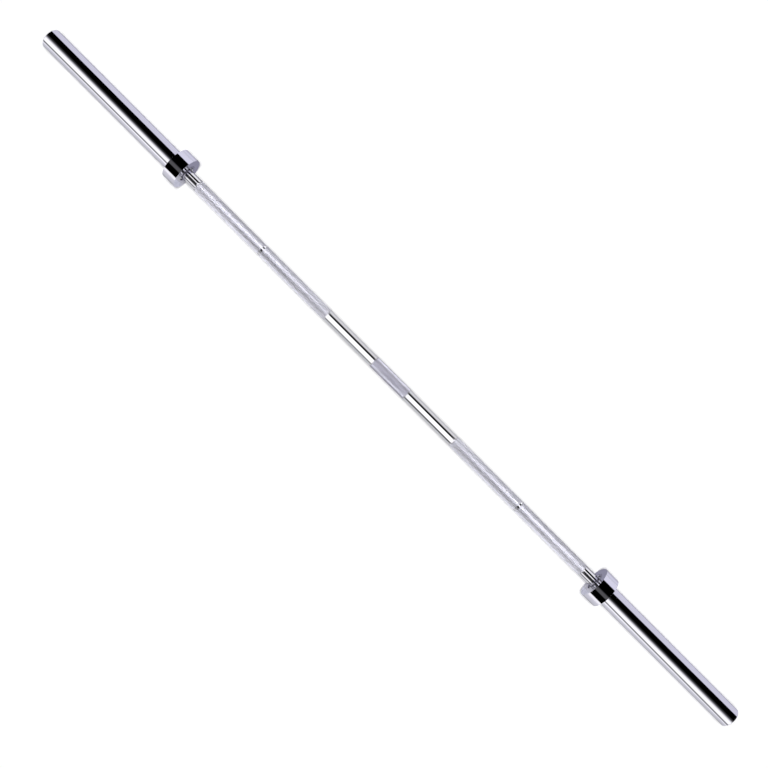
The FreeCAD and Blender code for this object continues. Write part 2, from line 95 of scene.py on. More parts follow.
# %% [markdown]
# Nearly every piece of a bar comes off a lathe: an outline turned about the bar's own axis.
# Blender's Screw modifier can turn an outline too. Here the rings of points are worked out with numpy, because
# then each corner gets its own small rounding, and a polished edge is only believable when it catches a thin
# line of light.

# %% Rounded outlines
MM = 0.001
CORNER_STEPS = 5
LEAD = 1.5
LARGEST_SHARE = 0.3


def soften(outline, reach):
    """Rounds the corners of an outline of (along, radius) points.

    Corner c with neighbours a and b becomes the curve (1-t)^2 p + 2t(1-t) c + t^2 q, where p and q lie at the
    given reach from c, towards a and b, but no further than the largest share of a face. One more point a little
    further out on each side keeps the long faces flat beside the rounding.
    """
    corner = np.asarray(outline, float)
    reach = np.broadcast_to(np.asarray(reach, float), len(corner))[:, None]

    def towards(neighbour):
        step = neighbour - corner
        length = np.linalg.norm(step, axis=1, keepdims=True)
        return step / length * np.minimum(reach, LARGEST_SHARE * length)

    back, ahead = towards(np.roll(corner, 1, axis=0)), towards(np.roll(corner, -1, axis=0))
    t = np.linspace(0, 1, CORNER_STEPS)[:, None, None]
    curve = corner + (1 - t) ** 2 * back + t**2 * ahead
    curve = np.concatenate([(corner + LEAD * back)[None], curve, (corner + LEAD * ahead)[None]])
    return curve.transpose(1, 0, 2).reshape(-1, 2)


print("a square's outline softens from 4 points to", len(soften([(0, 0), (1, 0), (1, 1), (0, 1)], 0.1)))

# %% [markdown]
# A turned surface has two parameters: the place on the outline and the angle round the bar. numpy works out all its
# points in one go, and each cell between two rings and two angles then becomes a face with four corners.

# %% Turned surfaces
def turned(outline, sides):
    """Carries an outline round the bar: point(i, j) = (along_i, radius_i cos a_j, radius_i sin a_j) for equal a_j."""
    angle = np.arange(sides) * 2 * np.pi / sides
    along, radius = np.asarray(outline).T[:, :, None] * MM
    return np.stack(np.broadcast_arrays(along, radius * np.cos(angle), radius * np.sin(angle)), axis=-1)


def ring_corners(rings, sides, closed):
    """The four corner numbers of each cell between a ring and the next, and from the last to the first if closed."""
    i, j = np.meshgrid(np.arange(rings if closed else rings - 1), np.arange(sides), indexing="ij")
    following, beside = (i + 1) % rings, (j + 1) % sides
    return np.stack([i * sides + j, i * sides + beside, following * sides + beside, following * sides + j], axis=-1)


print("a ring of 3 rings and 8 sides has", len(ring_corners(3, 8, True).reshape(-1, 4)), "cells")

# %% [markdown]
# Blender takes whole arrays of points and corners at once through foreach_set, which is far quicker than adding one
# vertex after another. Every new piece also says which body it rides on, which CAD node it stands for and which
# finish slot it belongs to.

# %% Pieces from points and faces
WELD = 1e-6
CREASE = math.radians(35)


def add_mesh(name, points, faces):
    """An object at the origin from an array of points and an array of faces with equal numbers of corners."""
    corners = faces.shape[1]
    mesh = bpy.data.meshes.new(name)
    mesh.vertices.add(points.size // 3)
    mesh.vertices.foreach_set("co", points.ravel().astype(np.float32))
    mesh.loops.add(faces.size)
    mesh.loops.foreach_set("vertex_index", faces.ravel().astype(np.int32))
    mesh.polygons.add(len(faces))
    mesh.polygons.foreach_set("loop_start", np.arange(0, faces.size, corners, dtype=np.int32))
    mesh.update(calc_edges=True)
    made = bpy.data.objects.new(name, mesh)
    scene.collection.objects.link(made)
    return made


def on_bar(piece, body, node, slot):
    """The piece rides on a body, stands for a CAD node and takes its finish from a slot."""
    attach(piece, body)
    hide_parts(node)
    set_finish(piece, slot)
    return piece


def add_turned(name, outline, sides, closed, body, node, slot):
    """A turned piece: the outline's rings joined by quads, with rings on the axis welded to a point."""
    piece = add_mesh(name, turned(outline, sides), ring_corners(len(outline), sides, closed).reshape(-1, 4))
    weld = bmesh.new()
    weld.from_mesh(piece.data)
    bmesh.ops.remove_doubles(weld, verts=weld.verts, dist=WELD)
    bmesh.ops.recalc_face_normals(weld, faces=weld.faces)
    weld.to_mesh(piece.data)
    weld.free()
    piece.data.shade_smooth()
    piece.data.set_sharp_from_angle(angle=CREASE)
    print(name, "has", len(piece.data.polygons), "faces")
    return on_bar(piece, body, node, slot)


print("edges sharper than", round(math.degrees(CREASE)), "degrees stay crisp")

# %% [markdown]
# The shaft is one steel bar: 28 mm where it is smooth, and stepped down inside the sleeves to the journals that
# they turn on. Its grip bands are cut separately below, so the core is turned a little slimmer under each of
# them. Only one half is written down, and the other is its mirror image.

# %% Shaft core
SHAFT_R = 14.0
BAND_SEAT_R = 13.5
BANDS = {"centre": (-52.0, 52.0), "inner": (203.0, 407.5), "outer": (412.5, 616.0)}
JOURNAL_R = 12.5
UNDERCUT_R = 12.2
CLIP_GROOVE_R = 11.95
EDGE = 0.25
SHAFT_SIDES = 128

seats = [
    (along, radius)
    for start, end in BANDS.values()
    for along, radius in ((start, SHAFT_R), (start, BAND_SEAT_R), (end, BAND_SEAT_R), (end, SHAFT_R))
    if along > 0
]
journal = [
    (657.4, SHAFT_R), (657.9, SHAFT_R - 0.5), (657.9, UNDERCUT_R), (659.9, UNDERCUT_R), (660.2, JOURNAL_R),
    (1073.1, JOURNAL_R), (1073.1, CLIP_GROOVE_R), (1074.4, CLIP_GROOVE_R), (1074.4, JOURNAL_R),
    (1079.1, JOURNAL_R), (1080.1, JOURNAL_R - 1.0), (1080.1, 0.0),
]
right_half = seats + journal
whole = np.array([(-along, radius) for along, radius in reversed(right_half)] + right_half)
reach = np.where(whole[:, 1] > 0, EDGE, 0)
shaft_core = add_turned("shaft_core", soften(whole, reach), SHAFT_SIDES, False, "shaft", "shaft", "shaft_chrome")

# %% [markdown]
# The grip is knurled: two sets of fine grooves cross on the shaft at equal slants and leave rows of small
# diamonds with worn, flat tops. A bump map could suggest them, but the grain of light on a knurl comes from real
# slopes, and an exported model needs them too. A grid of quarter diamonds has just the points that are needed:
# groove crossings and the middles of the grooves between them are low, and the tops and their corners are high.

# %% Knurl bands
DIAMONDS_ROUND = 64
DIAMOND_LENGTH = 2.42
CREST_R = 14.25
ROOT_R = 14.07
GROOVE_HALF = 0.13
RUN_OUT = 1.4


def knurl_band(start, end):
    """Points and triangles of one band, a closed ring of steel with diamonds outside.

    With u = (i + j) / 4 and v = (i - j) / 4 for row i and column j, a groove runs wherever u or v is a whole
    number, and every other point is a top or a corner of a top. The corners start a quarter away from both of
    their grooves and are drawn to half a groove's width from them. Each cell is split along its groove, or along
    the edge of its top. The tops sink to the grooves at both ends of the band, where one more ring goes in.
    """
    rows, columns = 4 * round((end - start) / DIAMOND_LENGTH) + 1, 4 * DIAMONDS_ROUND
    i, j = np.indices((rows, columns))
    from_u, from_v = ((i + j + 2) % 4 - 2) / 4, ((i - j + 2) % 4 - 2) / 4
    drawn = np.where((i + j) % 2 == 1, 2 * (GROOVE_HALF - 0.25), 0)
    along = start + (end - start) * (i + drawn * (np.sign(from_u) + np.sign(from_v))) / (rows - 1)
    angle = (j + drawn * (np.sign(from_u) - np.sign(from_v))) * 2 * np.pi / columns
    fade = np.clip(np.minimum(along - start, end - along) / RUN_OUT, 0, 1)
    radius = ROOT_R + (CREST_R - ROOT_R) * ((from_u != 0) & (from_v != 0)) * fade
    along, angle = np.pad(along, ((1, 1), (0, 0)), "edge"), np.pad(angle, ((1, 1), (0, 0)), "edge")
    radius = np.pad(radius, ((1, 1), (0, 0)), constant_values=BAND_SEAT_R)
    points = np.stack([along, radius * np.cos(angle), radius * np.sin(angle)], axis=-1) * MM
    a, b, c, d = np.moveaxis(ring_corners(rows + 2, columns, True), -1, 0)
    i, j = np.indices(a.shape) - np.array([1, 0])[:, None, None]
    split = np.where((i + j) % 2 == 1, (i + j) % 4 == 1, (i - j) % 4 == 0)[..., None]
    first = np.where(split, np.stack([a, b, c], axis=-1), np.stack([a, b, d], axis=-1))
    second = np.where(split, np.stack([a, c, d], axis=-1), np.stack([b, c, d], axis=-1))
    return points, np.concatenate([first.reshape(-1, 3), second.reshape(-1, 3)])


knurl_pieces = []
for name, (start, end) in BANDS.items():
    for side, sign in (("right", 1), ("left", -1)):
        if name == "centre" and side == "left":
            continue
        points, faces = knurl_band(*sorted((sign * start, sign * end)))
        label = "centre_knurl" if name == "centre" else f"{side}_{name}_knurl"
        knurl_pieces.append(on_bar(add_mesh(label, points, faces), "shaft", "shaft", "shaft_chrome"))
        knurl_pieces[-1].data.shade_flat()
        print(label, "has", len(faces), "triangles")

# %% [markdown]
# Wear and painted shade follow the height of a knurl: crests are rubbed pale, and the roots are painted dark as shade.
# A material can't know how high a point stands, so each band carries that share as an attribute of its points.

# %% Height of the knurl as an attribute
for piece in knurl_pieces:
    place = np.empty(3 * len(piece.data.vertices), np.float32)
    piece.data.vertices.foreach_get("co", place)
    out = np.hypot(*place.reshape(-1, 3).T[1:]) / MM
    share = np.clip((out - ROOT_R) / (CREST_R - ROOT_R), 0, 1)
    piece.data.attributes.new("crest", "FLOAT", "POINT").data.foreach_set("value", share.astype(np.float32))
print("crest share of the last band: mean", round(float(share.mean()), 3))

# %% [markdown]
# A sleeve is a thick tube that plates slide on. Its outer mouth has a ledge and a groove, where a disc and a
# spring clip close it, and its inner end is bored for the first bush.
# A collar is pressed on behind it: a plain heavy ring with nearly crisp rims that plates stop against.

# %% Sleeves, collars and end caps
COLLAR_START, COLLAR_END, LEDGE, SLEEVE_END = 655.0, 691.0, 1083.0, 1092.0
COLLAR_R, SLEEVE_R = 40.0, 25.0
MOUTH_GROOVE_R, MOUTH_R, BUSH_R, BORE_R = 21.23, 19.98, 18.78, 16.0
TUBE = [
    (COLLAR_START, 24.5), (690.5, 24.5), (COLLAR_END, SLEEVE_R), (1090.0, SLEEVE_R), (SLEEVE_END, 23.0),
    (SLEEVE_END, 20.78), (1091.2, MOUTH_R), (1087.85, MOUTH_R), (1087.85, MOUTH_GROOVE_R), (1086.0, MOUTH_GROOVE_R),
    (1086.0, MOUTH_R), (LEDGE, MOUTH_R), (LEDGE, BUSH_R), (1068.0, BUSH_R), (1068.0, BORE_R),
    (663.0, BORE_R), (663.0, BUSH_R), (655.8, BUSH_R), (COLLAR_START, 19.58),
]
COLLAR = [
    (COLLAR_START, COLLAR_R), (COLLAR_END, COLLAR_R), (COLLAR_END, 25.02), (690.5, 24.52), (COLLAR_START, 24.52),
]
COLLAR_ROUNDING = [0.3, 0.3, 0.15, 0.1, 0.15]
CAP = [
    (LEDGE, 0.0), (LEDGE, 19.88), (1085.5, 19.88), (1086.0, 19.38), (1086.0, 15.88), (1085.4, 15.28), (1085.4, 0.0),
]
CAP_ROUNDING = [0, 0.2, 0.2, 0.2, 0.2, 0.2, 0]
SLEEVE_SIDES, COLLAR_SIDES, CAP_SIDES = 160, 192, 96

sleeve_pieces, collar_pieces, cap_pieces = [], [], []
for side, sign in (("right", 1), ("left", -1)):
    mirror = np.array([sign, 1])
    body = f"{side}_sleeve"
    sleeve_pieces.append(add_turned(
        f"{side}_sleeve_surface", soften(TUBE, EDGE) * mirror, SLEEVE_SIDES, True,
        body, f"{side}_sleeve_tube", "sleeve_chrome"))
    collar_pieces.append(add_turned(
        f"{side}_collar_surface", soften(COLLAR, COLLAR_ROUNDING) * mirror, COLLAR_SIDES, True,
        body, f"{side}_collar", "sleeve_chrome"))
    cap_pieces.append(add_turned(
        f"{side}_cap_surface", soften(CAP, CAP_ROUNDING) * mirror, CAP_SIDES, False,
        body, f"{side}_end_cap", "cap_chrome"))

# %% [markdown]
# Finishes are built from nodes. A small helper adds a node, sets its plain values and links the rest, so that
# each finish below reads as a short list.

# %% Node helpers
def add_node(tree, kind, sockets=None, **settings):
    """Adds a shader node. A socket's value is a number or colour to set, or another node's output to link."""
    made = tree.nodes.new("ShaderNode" + kind)
    for name, value in settings.items():
        setattr(made, name, value)
    for name, value in (sockets or {}).items():
        if isinstance(value, bpy.types.NodeSocket):
            tree.links.new(value, made.inputs[name])
        else:
            made.inputs[name].default_value = value
    return made


def grain(tree, stretch, detail=3.0):
    """Noise on the piece's own coordinates, from 0 to 1, with its own number of waves per metre along each axis."""
    place = add_node(tree, "TexCoord").outputs["Object"]
    spread = add_node(tree, "Mapping", {"Vector": place, "Scale": stretch}).outputs["Vector"]
    return add_node(tree, "TexNoise", {"Vector": spread, "Scale": 1.0, "Detail": detail}).outputs["Fac"]


def between(tree, share, low, high, start=0.0, end=1.0):
    """Carries a share from start to end over to a value from low to high."""
    limits = {"Value": share, "From Min": start, "From Max": end, "To Min": low, "To Max": high}
    return add_node(tree, "MapRange", limits).outputs["Result"]


def blended(tree, share, first, second):
    """Goes from the first colour to the second as the share goes from 0 to 1."""
    made = add_node(tree, "Mix", {"Factor": share}, data_type="RGBA")
    made.inputs["A"].default_value, made.inputs["B"].default_value = (*first, 1), (*second, 1)
    return made.outputs["Result"]


def new_finish(name, rim=1.0):
    """An empty material with a metal shader in it. The rim is how much of the light it keeps at grazing angles."""
    finish = bpy.data.materials.new(name)
    finish.use_nodes = True
    shader = finish.node_tree.nodes["Principled BSDF"]
    shader.inputs["Metallic"].default_value = 1.0
    shader.inputs["Specular Tint"].default_value = (rim, rim, rim, 1)
    return finish, finish.node_tree, shader


print("node helpers ready")

# %% [markdown]
# Bright chrome is nearly a mirror, so its own colour is only a faint cool tint, and the rest is what stands round
# it. What tells it from a perfect mirror is small: polishing lines that run round the piece, a haze of fine
# scratches where plates slide along, and patches that are a little duller than others.

# %% Bright chrome
CHROME_RIM = 0.45
DULL_PATCHES, PATCH_DETAIL = (9, 30, 30), 5.0
PATCH_START, PATCH_END = 0.3, 0.75
POLISHING_LINES, LINE_STRENGTH = (2600, 24, 24), 0.015
LONG_SCRATCHES, SCRATCH_HAZE = (14, 900, 900), 0.03
SCRATCH_START, SCRATCH_END = 0.62, 0.78
RELIEF_DEPTH = 0.00005


def bright_chrome(name, pale, dull, smooth, hazy):
    """Chrome with lines round the bar, scratches along it, and roughness from smooth to hazy in patches."""
    finish, tree, shader = new_finish(name, CHROME_RIM)
    patches = grain(tree, DULL_PATCHES, PATCH_DETAIL)
    lines = grain(tree, POLISHING_LINES)
    scratches = between(tree, grain(tree, LONG_SCRATCHES), 0, 1, SCRATCH_START, SCRATCH_END)
    tree.links.new(blended(tree, patches, dull, pale), shader.inputs["Base Color"])
    worn = add_node(tree, "Math", {0: between(tree, patches, smooth, hazy, PATCH_START, PATCH_END),
                                   1: between(tree, scratches, 0, SCRATCH_HAZE)}, operation="ADD")
    tree.links.new(worn.outputs["Value"], shader.inputs["Roughness"])
    relief = add_node(tree, "Bump", {"Height": lines, "Strength": LINE_STRENGTH, "Distance": RELIEF_DEPTH})
    tree.links.new(relief.outputs["Normal"], shader.inputs["Normal"])
    return finish


sleeve_chrome = bright_chrome("sleeve_chrome_finish", pale=(0.615, 0.61, 0.695), dull=(0.585, 0.578, 0.66),
                              smooth=0.02, hazy=0.05)
shaft_chrome = bright_chrome("shaft_chrome_finish", pale=(0.615, 0.612, 0.655), dull=(0.585, 0.58, 0.62),
                             smooth=0.025, hazy=0.055)
cap_chrome = bright_chrome("cap_chrome_finish", pale=(0.60, 0.59, 0.69), dull=(0.54, 0.53, 0.63),
                           smooth=0.06, hazy=0.15)
print("chrome finishes:", sleeve_chrome.name, shaft_chrome.name, cap_chrome.name)

# %% [markdown]
# The knurl has the same plating, but hands and chalk dull it: crests are rubbed pale and matt, and a patchy film adds
# roughness. The grooves are painted darker, as painted shade. The crest attribute drives both the colour and the
# roughness.

# %% Knurl chrome
HAND_FILM, FILM_DETAIL = (60, 160, 160), 4.0
FILM_CLEAN, FILM_THICK = -0.01, 0.02
PALE_START, ROUGH_START = 0.3, 0.8


def knurl_chrome(name, groove, crest, groove_rough, crest_rough):
    """Dulled chrome that goes from one colour and roughness in the grooves to another on the crests."""
    finish, tree, shader = new_finish(name, CHROME_RIM)
    height = add_node(tree, "Attribute", attribute_name="crest").outputs["Fac"]
    film = grain(tree, HAND_FILM, FILM_DETAIL)
    # From the grooves, painted dark as shade, to the crests, rubbed pale.
    crest_wear_and_groove_shade = between(tree, height, 0, 1, PALE_START)
    tree.links.new(blended(tree, crest_wear_and_groove_shade, groove, crest), shader.inputs["Base Color"])
    dulled = add_node(tree, "Math", {0: between(tree, height, groove_rough, crest_rough, ROUGH_START),
                                     1: between(tree, film, FILM_CLEAN, FILM_THICK)}, operation="ADD")
    tree.links.new(dulled.outputs["Value"], shader.inputs["Roughness"])
    return finish


# The groove colours are painted shade, and the crest colours are chrome rubbed pale.
grip_chrome = knurl_chrome("grip_chrome_finish", groove=(0.31, 0.307, 0.35), crest=(0.68, 0.677, 0.75),
                           groove_rough=0.38, crest_rough=0.5)
centre_chrome = knurl_chrome("centre_chrome_finish", groove=(0.27, 0.265, 0.32), crest=(0.66, 0.65, 0.76),
                             groove_rough=0.26, crest_rough=0.3)
print("knurl finishes:", grip_chrome.name, centre_chrome.name)

# %% [markdown]
# Inside each sleeve are bronze bushes, steel bearings and spring clips. Most of them only show when the bar is
# taken apart, but each still gets its own finish: oiled bronze with darker patches, ground steel with fine
# lines, and clips blackened with phosphate.

# %% Finishes inside the sleeves
OIL_PATCHES = (40, 40, 40)
GRAIN_STRENGTH = 0.15


def inner_metal(name, pale, dark, smooth, rough, stretch):
    """Metal that varies between two colours and two roughnesses, with fine relief of the same grain."""
    finish, tree, shader = new_finish(name)
    patches, fine = grain(tree, OIL_PATCHES, PATCH_DETAIL), grain(tree, stretch)
    tree.links.new(blended(tree, patches, dark, pale), shader.inputs["Base Color"])
    tree.links.new(between(tree, fine, smooth, rough), shader.inputs["Roughness"])
    relief = add_node(tree, "Bump", {"Height": fine, "Strength": GRAIN_STRENGTH, "Distance": RELIEF_DEPTH})
    tree.links.new(relief.outputs["Normal"], shader.inputs["Normal"])
    return finish


finishes = {
    "shaft_chrome": shaft_chrome,
    "sleeve_chrome": sleeve_chrome,
    "cap_chrome": cap_chrome,
    "bronze": inner_metal("oiled_bronze", pale=(0.60, 0.40, 0.20), dark=(0.42, 0.26, 0.12),
                          smooth=0.25, rough=0.45, stretch=(1800, 60, 60)),
    "bearing_steel": inner_metal("ground_steel", pale=(0.52, 0.52, 0.54), dark=(0.44, 0.44, 0.46),
                                 smooth=0.18, rough=0.34, stretch=(2200, 60, 60)),
    "spring_steel": inner_metal("blackened_clip", pale=(0.11, 0.11, 0.12), dark=(0.06, 0.06, 0.065),
                                smooth=0.35, rough=0.55, stretch=(900, 900, 900)),
}
print("finishes for the slots", ", ".join(finishes))

# %% [markdown]
# A new piece takes the finish of its slot, apart from the knurl bands, which have their own. The CAD nodes that are
# shown as they are, such as the spring clips in the sleeves' mouths, get the finishes of their slots too.

# %% Finishes on their pieces
for piece in [shaft_core, *sleeve_pieces, *collar_pieces, *cap_pieces]:
    piece.data.materials.append(finishes[piece["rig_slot"]])
for piece in knurl_pieces:
    piece.data.materials.append(centre_chrome if piece.name == "centre_knurl" else grip_chrome)
for part in frame["record"]["subparts"]:
    for slot in frame["nodes"][part["node"]].material_slots:
        slot.material = finishes[part["material_slot"]]

# %% [markdown]
# The bar lies on a plain pale floor, on its two collars. A round soft lamp hangs straight above its middle, so
# most of the bar's shadow falls where the bar itself hides it, and only a thin soft edge shows along both sides.
# The floor shines a little by itself for the rays that the camera and the chrome see. That glow grows outwards by
# as much as the lamp's light falls off, so that the floor stays evenly white as far as it goes.

# %% Floor
FLOOR_SIDE = 14.0
FLOOR_PALE = 0.92
FLOOR_GLOW = 0.08
LAMP_LIGHT = 0.85
LAMP_HEIGHT = 3.5


def seen_directly(tree):
    """1 for rays from the camera, from a reflection or through glass, and 0 for the light that bounces round."""
    path = add_node(tree, "LightPath").outputs
    plain = add_node(tree, "Math", {0: path["Is Camera Ray"], 1: path["Is Glossy Ray"]}, operation="MAXIMUM")
    return add_node(tree, "Math", {0: plain.outputs["Value"], 1: path["Is Transmission Ray"]},
                    operation="MAXIMUM").outputs["Value"]


def lamp_share(tree):
    """How much of the lamp's light is left beside the spot below it: (1 + (distance / height)^2)^-2."""
    place = add_node(tree, "TexCoord").outputs["Object"]
    level = add_node(tree, "VectorMath", {0: place, 1: (1 / LAMP_HEIGHT, 1 / LAMP_HEIGHT, 0)}, operation="MULTIPLY")
    square = add_node(tree, "VectorMath", {0: level.outputs["Vector"], 1: level.outputs["Vector"]},
                      operation="DOT_PRODUCT").outputs["Value"]
    slant = add_node(tree, "Math", {0: square, 1: 1.0}, operation="ADD").outputs["Value"]
    return add_node(tree, "Math", {0: slant, 1: -2.0}, operation="POWER").outputs["Value"]


floor_z = cad_box[0].z
square = np.array([(-1, -1), (1, -1), (1, 1), (-1, 1)]) * FLOOR_SIDE / 2
floor = add_mesh("floor", np.column_stack([square, np.full(4, floor_z)]), np.array([[0, 1, 2, 3]]))
paper = bpy.data.materials.new("floor_paper")
paper.use_nodes = True
tree = paper.node_tree
tree.nodes.clear()
matt = add_node(tree, "BsdfDiffuse", {"Color": (FLOOR_PALE, FLOOR_PALE, FLOOR_PALE, 1)})
shine = between(tree, lamp_share(tree), FLOOR_GLOW + FLOOR_PALE * LAMP_LIGHT, FLOOR_GLOW)
seen = add_node(tree, "Math", {0: seen_directly(tree), 1: shine}, operation="MULTIPLY")
glow = add_node(tree, "Emission", {"Strength": seen.outputs["Value"]})
both = add_node(tree, "AddShader", {0: matt.outputs["BSDF"], 1: glow.outputs["Emission"]})
add_node(tree, "OutputMaterial", {"Surface": both.outputs["Shader"]})
floor.data.materials.append(paper)
print("floor at", round(1000 * floor_z, 1), "mm")

# %% [markdown]
# The room is white all round, and dim for the light that bounces. The lamp is a disc that looks straight down. Its
# height and the angle that it covers, seen from below, settle how wide the shadow's soft edge is. Together the
# room and the lamp light a matt surface at its own written brightness.

# %% Room and lamp
ROOM_LIGHT = 0.17
LAMP_SPREAD = 18.0

room = bpy.data.worlds.new("room")
scene.world = room
room.use_nodes = True
tree = room.node_tree
tree.nodes["Background"].inputs["Color"].default_value = (1, 1, 1, 1)
tree.links.new(between(tree, seen_directly(tree), ROOM_LIGHT, 1.0), tree.nodes["Background"].inputs["Strength"])
half_spread = math.radians(LAMP_SPREAD / 2)
lamp_data = bpy.data.lights.new("soft_lamp", "AREA")
lamp_data.shape = "DISK"
lamp_data.size = 2 * LAMP_HEIGHT * math.tan(half_spread)
lamp_data.energy = LAMP_LIGHT * (math.pi * LAMP_HEIGHT / math.cos(half_spread)) ** 2
lamp = bpy.data.objects.new("soft_lamp", lamp_data)
lamp.location.z = floor_z + LAMP_HEIGHT
lamp.visible_camera = lamp.visible_glossy = False
scene.collection.objects.link(lamp)
print("lamp of", round(lamp_data.energy, 1), "W,", round(lamp_data.size, 2), "m across")

# %% [markdown]
# Chrome shows what stands round it, so photographers hang a tent of white cloth over it, with dark cards to draw
# lines along the metal. A tent here is half a tube about the bar. A point of it has two parameters, its place along
# the bar and its angle from straight up, and its glow is a function of both: each card is a layer between two
# angles, with soft edges. Angles below zero are on the near side of the bar.

# %% Glow over the angle
def step_up(value, start, width):
    """Rises smoothly from 0 to 1 over a width about start: 3t^2 - 2t^3."""
    t = np.clip((value - start) / width + 0.5, 0, 1)
    return t * t * (3 - 2 * t)


def cards(angle, layers):
    """Glow over the angle in degrees: white cloth, and each layer laid over what is under it.

    A layer is (low angle, high angle, glow, soft low edge, soft high edge).
    """
    glow = np.ones_like(angle)
    for low, high, level, soft_low, soft_high in layers:
        share = step_up(angle, low, soft_low) * (1 - step_up(angle, high, soft_high))
        glow = glow + (level - glow) * share
    return glow


print("glow of a dark card and of the cloth beside it:", cards(np.array([0.0, 60.0]), [(-20, 20, 0.1, 5, 5)]))

# %% [markdown]
# The smooth parts of the shaft mirror a black line on the far side of a white one and a grey line on the near side,
# which is darker on the right. The grips are dull and blur what they mirror, so their cards are far stronger, and they
# change towards the middle of the bar and towards its ends. Beside a collar, the end of the shaft and the collar's
# face mirror each other. That light bounces twice and loses strength, so the cards for it are brighter.

# %% Cards over the shaft
CENTRE = [(-84, -60, 1.6, 6, 10), (-60, 60, 1.2, 10, 12), (-60, 10, 0.05, 10, 24), (60, 95, 0.7, 10, 5)]
LEFT_MIDDLE = [(-87, -65, 0.2, 5, 6), (-56, 18, 1.9, 5, 5), (19, 57, 0, 5, 4)]
RIGHT_MIDDLE = [(-87, -61, 0.05, 5, 8), (-48, 18, 1.9, 8, 5), (19, 57, 0, 5, 4)]
INNER_GRIP_START = [
    (-100, -64, 3.5, 8, 8), (-64, 18, 0.02, 8, 10), (20, 46, 5.6, 10, 8),
    (46, 64, 0.05, 8, 8), (64, 80, 1.0, 8, 8),
]
INNER_GRIP = [
    (-100, -80, 1.6, 8, 8), (-80, 8, 0.0, 8, 10), (10, 42, 5.0, 10, 8),
    (42, 64, 0.05, 8, 8), (64, 80, 1.2, 8, 8),
]
OUTER_GRIP = [(-100, -78, 4.0, 8, 8), (-78, -6, 0.1, 8, 12), (-4, 44, 5.0, 12, 8), (44, 95, 0.2, 8, 5)]
OUTER_GRIP_END = [(-100, -78, 4.0, 8, 8), (-78, -6, 0.9, 8, 12), (-12, 48, 4.9, 30, 8), (48, 95, 0, 8, 5)]
MARK = [(-80, -34, 0.5, 10, 10), (-34, 6, 0, 10, 6), (5, 25, 2.1, 5, 5), (25, 66, 0, 5, 4), (67, 95, 2, 4, 4)]
END = [
    (-88, -64, 0.35, 5, 8), (-60, -40, 1.5, 6, 10), (-38, 16, 0.05, 12, 5),
    (16, 31, 1.8, 5, 5), (64, 95, 1.4, 3, 5), (28.5, 66.5, 0, 3, 3),
]
FACE_GAIN = 1.6
FACE = [(low, high, FACE_GAIN * level, soft_low, soft_high) for low, high, level, soft_low, soft_high in END]
print("glow straight above the smooth parts:", round(float(cards(np.zeros(1), LEFT_MIDDLE)[0]), 2))

# %% [markdown]
# A sleeve mirrors a broad black band with white on its near side, and a thin grey line below that. They lie a little
# differently beside the collar and at the sleeve's end, so there is one set of cards for each. A collar has a wider
# black band with a faint grey stripe in it. The lining is black all over.

# %% Cards over the sleeves and collars
COLLAR_CARDS = [(-95, -70, 1.5, 3, 3), (-70, 54.5, 0, 3, 3), (-27.5, -5.5, 0.13, 6, 12), (54.5, 100, 1.13, 3, 5)]
SLEEVE_IN = [
    (-73, -60, 0.33, 4, 4), (-100, -77, 1.7, 4, 5), (-42, 57.5, 0, 4, 3),
    (-30, 2, 0.04, 20, 14), (-55, -22.5, 1.8, 5, 35),
]
SLEEVE_OUT = [
    (-84, -69, 0.25, 4, 4), (-100, -84, 1.8, 4, 4), (-42, 61.5, 0, 4, 3),
    (-30, 2, 0.07, 20, 14), (-62, -22.5, 1.8, 5, 35),
]
LINING = [(-100, 100, 0, 5, 5)]
print("glow straight above a sleeve:", round(float(cards(np.zeros(1), SLEEVE_IN)[0]), 2))

# %% [markdown]
# From where the camera stands, a place on the bar mirrors the tent about 1.3 times as far from the middle, so each
# stretch of a tent lies that much further out than the piece it is for. The one for the collars' faces lies further
# in, because a face turns the light back towards the middle. The cards blend from one stretch to the next, and the
# tents go on far past the ends of the bar, for views along it.

# %% Stretches of the tents
TENT_END = 4.0
FACE_STRETCH = (0.45, 0.48, FACE, FACE)
SLEEVE_SIDE = [(0.893, 1.42, SLEEVE_IN, SLEEVE_OUT), (1.5, TENT_END, SLEEVE_OUT, SLEEVE_OUT)]
COLLAR_SIDE = [FACE_STRETCH, (0.485, TENT_END, COLLAR_CARDS, COLLAR_CARDS)]


def shaft_side(middle):
    """Stretches over the shaft from its centre band outwards, with the given cards over the smooth part."""
    return [
        (0.071, 0.26, middle, middle), (0.27, 0.38, INNER_GRIP_START, INNER_GRIP),
        (0.385, 0.445, INNER_GRIP, INNER_GRIP), FACE_STRETCH, (0.485, 0.523, INNER_GRIP, INNER_GRIP),
        (0.526, 0.540, MARK, MARK), (0.543, 0.798, OUTER_GRIP, OUTER_GRIP_END),
        (0.801, 0.841, END, END), (0.844, 0.891, COLLAR_CARDS, COLLAR_CARDS), *SLEEVE_SIDE,
    ]


def mirrored(stretches):
    """The same stretches to the left of the middle."""
    return [(-end, -start, last, first) for start, end, first, last in reversed(stretches)]


SHAFT_STRETCHES = [
    *mirrored(shaft_side(LEFT_MIDDLE)), (-0.064, 0.064, CENTRE, CENTRE), *shaft_side(RIGHT_MIDDLE),
]
SLEEVE_STRETCHES = [*mirrored(SLEEVE_SIDE), (-0.89, 0.89, SLEEVE_IN, SLEEVE_IN), *SLEEVE_SIDE]
COLLAR_STRETCHES = [*mirrored(COLLAR_SIDE), (-0.445, 0.445, COLLAR_CARDS, COLLAR_CARDS), *COLLAR_SIDE]
LINING_STRETCHES = [(-TENT_END, TENT_END, LINING, LINING)]
print("stretches over the shaft:", len(SHAFT_STRETCHES))

# %% [markdown]
# A single tent would put the shaft's cards on the sleeves too, as blocks of black and white, as soon as the camera
# looks along the bar. So the shaft, the sleeves and the collars get a tent each, one inside the other, and light
# linking lets every piece mirror its own tent alone. The cloth is clear apart from its glow, and a black lining
# outside ends what passes all three. Only reflections see any of this: it throws no light on the floor, and the
# camera looks straight through it.

